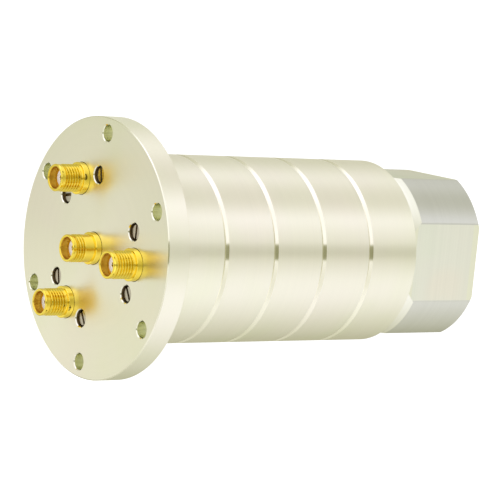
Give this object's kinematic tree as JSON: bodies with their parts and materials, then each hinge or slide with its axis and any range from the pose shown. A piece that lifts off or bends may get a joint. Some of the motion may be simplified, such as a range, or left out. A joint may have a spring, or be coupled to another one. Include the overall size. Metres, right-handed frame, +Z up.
{
  "type": "coaxial slip ring",
  "caption": "Coaxial slip ring: a flanged aluminium body of stacked housings with gold threaded jacks, and a turning rear block with flats.",
  "frame": {"origin": "centre of the mounting flange's outer face, on the shaft line", "axes": "+X along the shaft line from the flange towards the rotor block, +Z up"},
  "size_m": [0.1136, 0.06, 0.06],
  "materials": {
    "chromate_aluminium": "fine-turned aluminium under a clear, faintly yellow-green chromate conversion coat",
    "gold_plate": "bright gold plate on turned brass",
    "ptfe": "white PTFE, matt",
    "screw_steel": "plain stainless steel, turned heads",
    "dark_steel": "black-oxide steel",
    "tinned_copper": "drawn copper tube, lightly tinned",
    "silver_plate": "silver plate on turned brass",
    "cage_nylon": "natural nylon, moulded",
    "seal_rubber": "black nitrile rubber",
    "bearing_steel": "ground bearing steel"
  },
  "bodies": {
    "stator": {"mounting_flange": "chromate_aluminium", "front_housing": "chromate_aluminium", "channel_housing_2": "chromate_aluminium", "channel_housing_3": "chromate_aluminium", "channel_housing_4": "chromate_aluminium", "rear_housing": "chromate_aluminium", "flange_screws": "screw_steel", "housing_screws": "dark_steel", "flange_jack_1": "gold_plate", "flange_jack_2": "gold_plate", "flange_jack_3": "gold_plate", "flange_jack_4": "gold_plate", "flange_insulators": "ptfe", "flange_contacts": "gold_plate", "stator_lead_2": "tinned_copper", "stator_lead_3": "tinned_copper", "stator_lead_4": "tinned_copper", "centre_line_stator": "tinned_copper", "stator_coupler_2": "silver_plate", "stator_coupler_3": "silver_plate", "stator_coupler_4": "silver_plate", "front_bearing_outer_ring": "bearing_steel", "rear_bearing_outer_ring": "bearing_steel", "front_circlip": "dark_steel", "rear_circlip": "dark_steel", "shaft_seal": "seal_rubber"},
    "rotor": {"front_bearing_inner_ring": "bearing_steel", "rear_bearing_inner_ring": "bearing_steel", "rotor_block": "chromate_aluminium", "rotor_end_plate": "chromate_aluminium", "end_plate_screws": "screw_steel", "shaft_screws": "dark_steel", "rotor_jack_1": "gold_plate", "rotor_jack_2": "gold_plate", "rotor_jack_3": "gold_plate", "rotor_jack_4": "gold_plate", "rotor_insulators": "ptfe", "rotor_contacts": "gold_plate", "rotor_shaft": "bearing_steel", "shaft_locknut": "dark_steel", "front_spacer": "bearing_steel", "rear_spacer": "bearing_steel", "rotor_coupler_2": "silver_plate", "rotor_coupler_3": "silver_plate", "rotor_coupler_4": "silver_plate", "rotor_lead_2": "tinned_copper", "rotor_lead_3": "tinned_copper", "rotor_lead_4": "tinned_copper", "centre_line_rotor": "tinned_copper"},
    "front_cage": {"front_bearing_balls": "bearing_steel", "front_bearing_cage": "cage_nylon"},
    "rear_cage": {"rear_bearing_balls": "bearing_steel", "rear_bearing_cage": "cage_nylon"}
  },
  "joints": [
    {"name": "rotor_spin", "type": "hinge", "parent": "stator", "child": "rotor", "pos_m": [0, 0, 0], "axis": [1, 0, 0], "continuous": true},
    {"name": "front_cage_spin", "type": "hinge", "parent": "stator", "child": "front_cage", "pos_m": [0, 0, 0], "axis": [1, 0, 0], "continuous": true},
    {"name": "rear_cage_spin", "type": "hinge", "parent": "stator", "child": "rear_cage", "pos_m": [0, 0, 0], "axis": [1, 0, 0], "continuous": true}
  ],
  "couplings": [
    {"joint": "front_cage_spin", "follows": "rotor_spin", "ratio": 0.4282},
    {"joint": "rear_cage_spin", "follows": "rotor_spin", "ratio": 0.4282}
  ]
}
